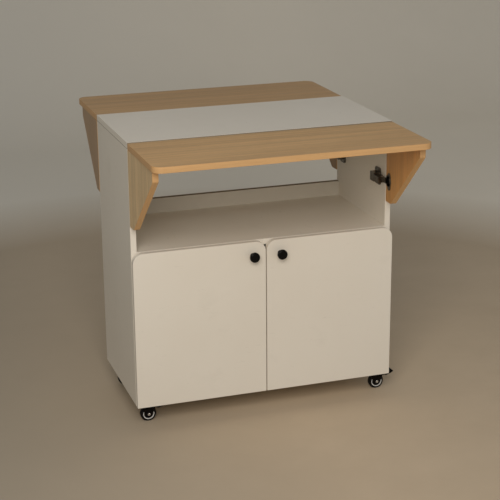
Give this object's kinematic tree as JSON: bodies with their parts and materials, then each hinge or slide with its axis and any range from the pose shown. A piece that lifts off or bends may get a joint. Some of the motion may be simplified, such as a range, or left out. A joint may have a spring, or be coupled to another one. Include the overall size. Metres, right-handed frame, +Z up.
{
  "type": "rolling kitchen island",
  "caption": "Kitchen island on swivel casters with a two-door cupboard, an open shelf, and a front and a rear drop leaf on fold-away triangular brackets.",
  "frame": {"origin": "on the floor under the middle of the cabinet, half way between the four caster stems", "axes": "+X to the right along the front with the doors, +Y from the front to the back, +Z up"},
  "size_m": [0.8708, 1, 0.9],
  "materials": {
    "white_board": "satin white melamine over particle board",
    "wood_board": "satin light wood grain",
    "dowel_wood": "raw",
    "black_plastic": "satin black",
    "wheel_rubber": "matte black",
    "grey_ring": "satin light grey",
    "bright_steel": "bright",
    "hardware_steel": "zinc plated",
    "hinge_nickel": "nickel plated, darkened"
  },
  "bodies": {
    "cabinet": {"centre_top": "white_board", "side_left": "white_board", "side_right": "white_board", "shelf_deck": "white_board", "bottom_panel": "white_board", "back_panel": "white_board", "loose_shelf": "white_board", "shelf_pins": "hardware_steel", "dowels": "dowel_wood", "cam_fittings": "hardware_steel", "door_plates": "hinge_nickel", "door_arms": "hinge_nickel", "bracket_plates": "hinge_nickel", "bracket_arms": "hinge_nickel", "leaf_hinges_front": "hinge_nickel", "leaf_hinges_rear": "hinge_nickel", "caster_inserts": "hardware_steel", "caster_stems": "bright_steel"},
    "door_left": {"door_left": "white_board", "knob_left": "black_plastic", "knob_screw_left": "hardware_steel", "door_cups_left": "hinge_nickel"},
    "door_right": {"door_right": "white_board", "knob_right": "black_plastic", "knob_screw_right": "hardware_steel", "door_cups_right": "hinge_nickel"},
    "leaf_front": {"leaf_front": "wood_board", "leaf_straps_front": "hinge_nickel"},
    "leaf_rear": {"leaf_rear": "wood_board", "leaf_straps_rear": "hinge_nickel"},
    "bracket_front_left": {"bracket_front_left": "wood_board", "bracket_cup_front_left": "hinge_nickel"},
    "bracket_front_right": {"bracket_front_right": "wood_board", "bracket_cup_front_right": "hinge_nickel"},
    "bracket_rear_left": {"bracket_rear_left": "wood_board", "bracket_cup_rear_left": "hinge_nickel"},
    "bracket_rear_right": {"bracket_rear_right": "wood_board", "bracket_cup_rear_right": "hinge_nickel"},
    "fork_front_left": {"caster_fork_front_left": "black_plastic", "caster_axle_front_left": "bright_steel"},
    "wheel_front_left": {"caster_wheel_front_left": "wheel_rubber", "caster_ring_front_left": "grey_ring"},
    "fork_front_right": {"caster_fork_front_right": "black_plastic", "caster_axle_front_right": "bright_steel"},
    "wheel_front_right": {"caster_wheel_front_right": "wheel_rubber", "caster_ring_front_right": "grey_ring"},
    "fork_rear_left": {"caster_fork_rear_left": "black_plastic", "caster_axle_rear_left": "bright_steel"},
    "wheel_rear_left": {"caster_wheel_rear_left": "wheel_rubber", "caster_ring_rear_left": "grey_ring"},
    "fork_rear_right": {"caster_fork_rear_right": "black_plastic", "caster_axle_rear_right": "bright_steel"},
    "wheel_rear_right": {"caster_wheel_rear_right": "wheel_rubber", "caster_ring_rear_right": "grey_ring"},
    "pedal_front_left": {"brake_pedal_front_left": "black_plastic"},
    "pedal_front_right": {"brake_pedal_front_right": "black_plastic"}
  },
  "joints": [
    {"name": "door_left_swing", "type": "hinge", "parent": "cabinet", "child": "door_left", "pos_m": [-0.406, -0.212, 0.32], "axis": [0, 0, -1], "range_deg": [0, 100]},
    {"name": "door_right_swing", "type": "hinge", "parent": "cabinet", "child": "door_right", "pos_m": [0.406, -0.212, 0.32], "axis": [0, 0, 1], "range_deg": [0, 100]},
    {"name": "bracket_front_left_fold", "type": "hinge", "parent": "cabinet", "child": "bracket_front_left", "pos_m": [-0.406, -0.212, 0.7159], "axis": [0, 0, 1], "range_deg": [-1.7, 88.3]},
    {"name": "bracket_front_right_fold", "type": "hinge", "parent": "cabinet", "child": "bracket_front_right", "pos_m": [0.406, -0.212, 0.7159], "axis": [0, 0, -1], "range_deg": [-1.7, 88.3]},
    {"name": "bracket_rear_left_fold", "type": "hinge", "parent": "cabinet", "child": "bracket_rear_left", "pos_m": [-0.406, 0.212, 0.7159], "axis": [0, 0, -1], "range_deg": [-1.7, 88.3]},
    {"name": "bracket_rear_right_fold", "type": "hinge", "parent": "cabinet", "child": "bracket_rear_right", "pos_m": [0.406, 0.212, 0.7159], "axis": [0, 0, 1], "range_deg": [-1.7, 88.3]},
    {"name": "leaf_front_lift", "type": "hinge", "parent": "cabinet", "child": "leaf_front", "pos_m": [0, -0.2185, 0.8763], "axis": [-1, 0, 0], "range_deg": [0, 1]},
    {"name": "leaf_rear_lift", "type": "hinge", "parent": "cabinet", "child": "leaf_rear", "pos_m": [0, 0.2185, 0.8763], "axis": [1, 0, 0], "range_deg": [0, 1]},
    {"name": "caster_front_left_swivel", "type": "hinge", "parent": "cabinet", "child": "fork_front_left", "pos_m": [-0.383, -0.15, 0.0645], "axis": [0, 0, 1], "continuous": true},
    {"name": "wheel_front_left_roll", "type": "hinge", "parent": "fork_front_left", "child": "wheel_front_left", "pos_m": [-0.367, -0.15, 0.025], "axis": [0, 1, 0], "continuous": true},
    {"name": "caster_front_right_swivel", "type": "hinge", "parent": "cabinet", "child": "fork_front_right", "pos_m": [0.383, -0.15, 0.0645], "axis": [0, 0, 1], "continuous": true},
    {"name": "wheel_front_right_roll", "type": "hinge", "parent": "fork_front_right", "child": "wheel_front_right", "pos_m": [0.399, -0.15, 0.025], "axis": [0, 1, 0], "continuous": true},
    {"name": "caster_rear_left_swivel", "type": "hinge", "parent": "cabinet", "child": "fork_rear_left", "pos_m": [-0.383, 0.15, 0.0645], "axis": [0, 0, 1], "continuous": true},
    {"name": "wheel_rear_left_roll", "type": "hinge", "parent": "fork_rear_left", "child": "wheel_rear_left", "pos_m": [-0.367, 0.15, 0.025], "axis": [0, 1, 0], "continuous": true},
    {"name": "caster_rear_right_swivel", "type": "hinge", "parent": "cabinet", "child": "fork_rear_right", "pos_m": [0.383, 0.15, 0.0645], "axis": [0, 0, 1], "continuous": true},
    {"name": "wheel_rear_right_roll", "type": "hinge", "parent": "fork_rear_right", "child": "wheel_rear_right", "pos_m": [0.399, 0.15, 0.025], "axis": [0, 1, 0], "continuous": true},
    {"name": "brake_front_left_press", "type": "hinge", "parent": "fork_front_left", "child": "pedal_front_left", "pos_m": [-0.361, -0.15, 0.054], "axis": [0, 1, 0], "range_deg": [0, 5]},
    {"name": "brake_front_right_press", "type": "hinge", "parent": "fork_front_right", "child": "pedal_front_right", "pos_m": [0.405, -0.15, 0.054], "axis": [0, 1, 0], "range_deg": [0, 5]}
  ]
}
